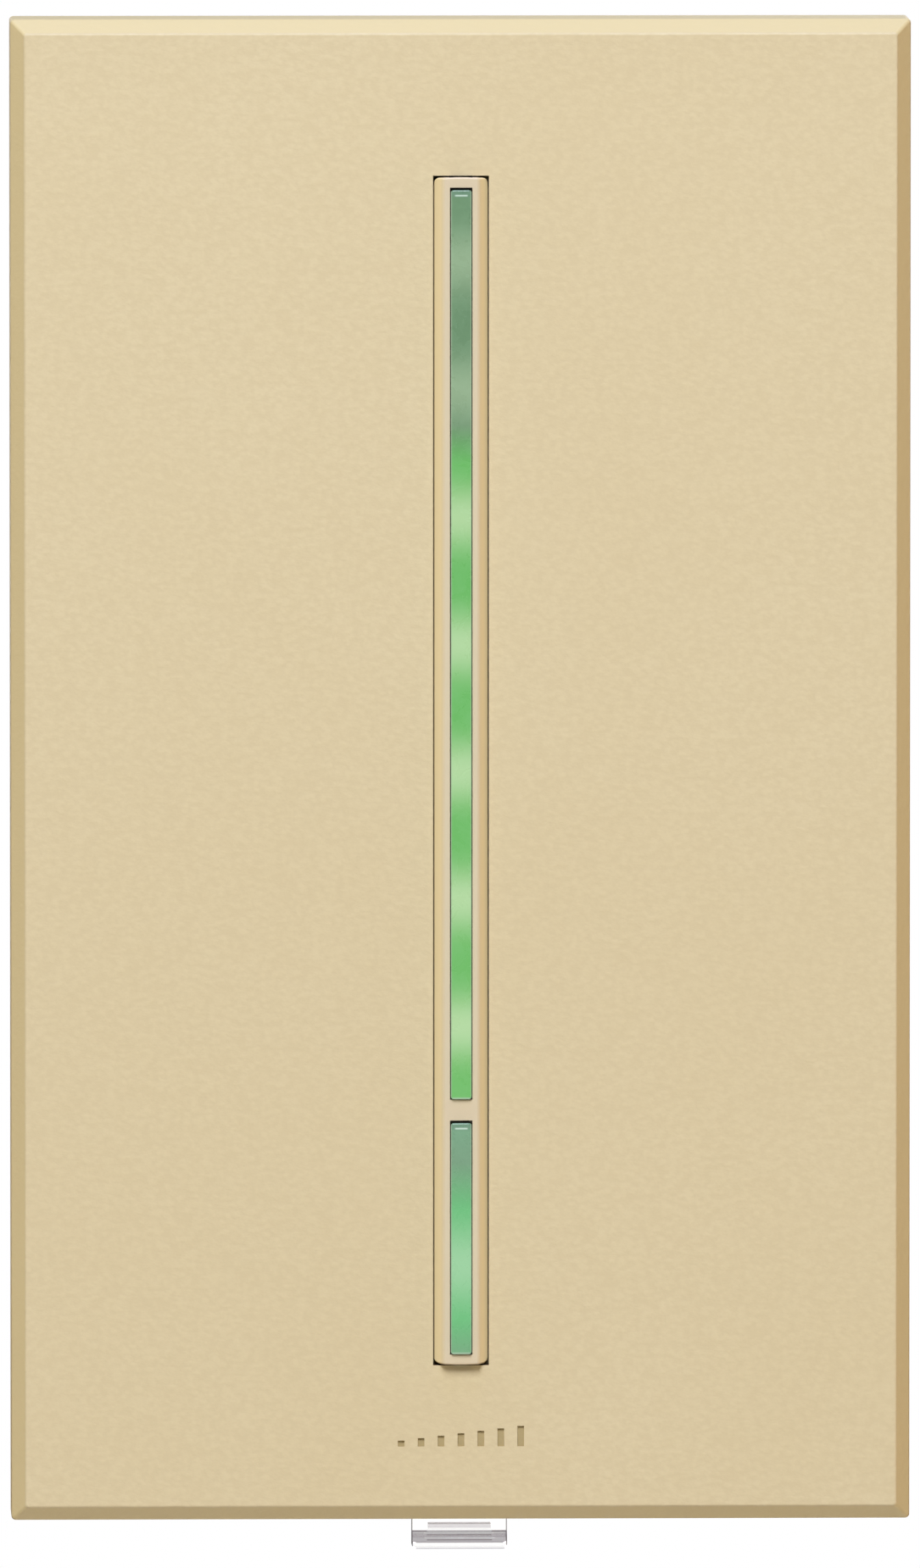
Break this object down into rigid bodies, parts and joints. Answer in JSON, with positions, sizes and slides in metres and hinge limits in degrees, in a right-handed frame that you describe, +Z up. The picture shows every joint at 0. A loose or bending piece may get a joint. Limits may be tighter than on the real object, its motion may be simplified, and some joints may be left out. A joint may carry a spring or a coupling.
{
  "type": "wall dimmer switch",
  "caption": "Wall dimmer with a bevelled ivory faceplate, a slim touch rail with green light bars, a clear pull-tab service switch and a wall-box housing.",
  "frame": {"origin": "in the wall plane, midway between the two screws that hold the device in its wall box", "axes": "+X to the right seen from the room, +Z up, -Y out of the wall into the room"},
  "size_m": [0.0744, 0.0371, 0.1272],
  "materials": {
    "ivory_textured_plastic": "moulded, fine matte texture",
    "ivory_satin_plastic": "moulded, satin",
    "green_light_guide": "translucent, lit green from behind",
    "clear_polycarbonate": "clear moulded plastic",
    "black_acetal": "moulded acetal",
    "grey_adapter_plastic": "moulded, matte",
    "black_housing_plastic": "moulded, sparked texture",
    "black_nylon": "moulded nylon",
    "yoke_aluminium": "stamped, brushed",
    "zinc_steel": "zinc plated",
    "brass": "stamped brass",
    "spring_brass": "rolled strip, silver contact rivet",
    "green_screw_paint": "green dyed zinc",
    "clear_film": "clear polyester film with printed traces",
    "silicone_rubber": "translucent silicone",
    "white_mask_plastic": "moulded white",
    "led_package": "moulded package with lens",
    "green_circuit_board": "glass-epoxy board, solder mask",
    "gold_pins": "plated square pins",
    "red_fibre": "vulcanised fibre",
    "grey_fish_paper": "insulating paper sheet",
    "thermal_pad": "filled silicone pad",
    "black_epoxy_package": "moulded epoxy, tinned leads",
    "ferrite": "coated powder core",
    "enamelled_copper": "enamelled copper wire",
    "yellow_box_capacitor": "moulded box",
    "black_sleeve": "shrink sleeve over aluminium can",
    "blue_epoxy": "dipped epoxy",
    "chip_ceramic": "chip resistor, tinned ends"
  },
  "bodies": {
    "device": {"adapter_plate": "grey_adapter_plastic", "adapter_screws": "zinc_steel", "yoke": "yoke_aluminium", "mounting_screws": "zinc_steel", "captive_washers": "red_fibre", "ground_screw": "green_screw_paint", "back_cover_screws": "zinc_steel", "bezel": "ivory_satin_plastic", "module_screws": "zinc_steel", "upper_return_pads": "silicone_rubber", "lower_return_pads": "silicone_rubber", "sensor_front_film": "clear_film", "sensor_spacer": "clear_film", "sensor_rear_film": "clear_film", "sensor_flex_tail": "clear_film", "flex_connector": "black_nylon", "light_mask": "white_mask_plastic", "upper_leds": "led_package", "lower_led": "led_package", "led_board": "green_circuit_board", "module_base": "black_nylon", "module_header": "black_nylon", "header_pins": "gold_pins", "insulating_sheet": "grey_fish_paper", "back_cover": "black_housing_plastic", "power_board": "green_circuit_board", "line_terminal": "brass", "load_terminal": "brass", "terminal_clamps": "brass", "terminal_screws": "brass", "triac": "black_epoxy_package", "triac_pad": "thermal_pad", "triac_screw": "zinc_steel", "triac_nut": "zinc_steel", "choke_core": "ferrite", "choke_winding": "enamelled_copper", "film_capacitor": "yellow_box_capacitor", "electrolytic_capacitor": "black_sleeve", "varistor": "blue_epoxy", "microcontroller": "black_epoxy_package", "board_resistors": "chip_ceramic", "module_socket": "black_nylon", "contact_arm_pin": "zinc_steel", "contact_arm_bracket": "brass", "fixed_contact": "spring_brass"},
    "faceplate": {"faceplate": "ivory_textured_plastic"},
    "upper_light_bar": {"upper_light_bar": "green_light_guide"},
    "lower_light_bar": {"lower_light_bar": "green_light_guide"},
    "service_switch": {"service_pull_tab": "clear_polycarbonate", "switch_cam": "black_acetal"},
    "contact_arm": {"contact_arm": "spring_brass"}
  },
  "joints": [
    {"name": "faceplate_pull_off", "type": "slide", "parent": "device", "child": "faceplate", "axis": [0, -1, 0], "range_m": [0, 0.025]},
    {"name": "upper_bar_press", "type": "slide", "parent": "device", "child": "upper_light_bar", "axis": [0, 1, 0], "range_m": [0, 0.00025], "stiffness_N_per_m": 800, "springref_m": -0.0005, "deforming": ["upper_return_pads"]},
    {"name": "lower_bar_press", "type": "slide", "parent": "device", "child": "lower_light_bar", "axis": [0, 1, 0], "range_m": [0, 0.00025], "stiffness_N_per_m": 800, "springref_m": -0.0005, "deforming": ["lower_return_pads"]},
    {"name": "service_switch_pull", "type": "slide", "parent": "device", "child": "service_switch", "axis": [0, 0, -1], "range_m": [0, 0.0045]},
    {"name": "contact_arm_lift", "type": "hinge", "parent": "device", "child": "contact_arm", "pos_m": [0, 0.0034, -0.006], "axis": [-1, 0, 0], "range_deg": [0, 6.5]}
  ],
  "couplings": [
    {"joint": "contact_arm_lift", "follows": "service_switch_pull", "rad_per_m": 24.9}
  ]
}
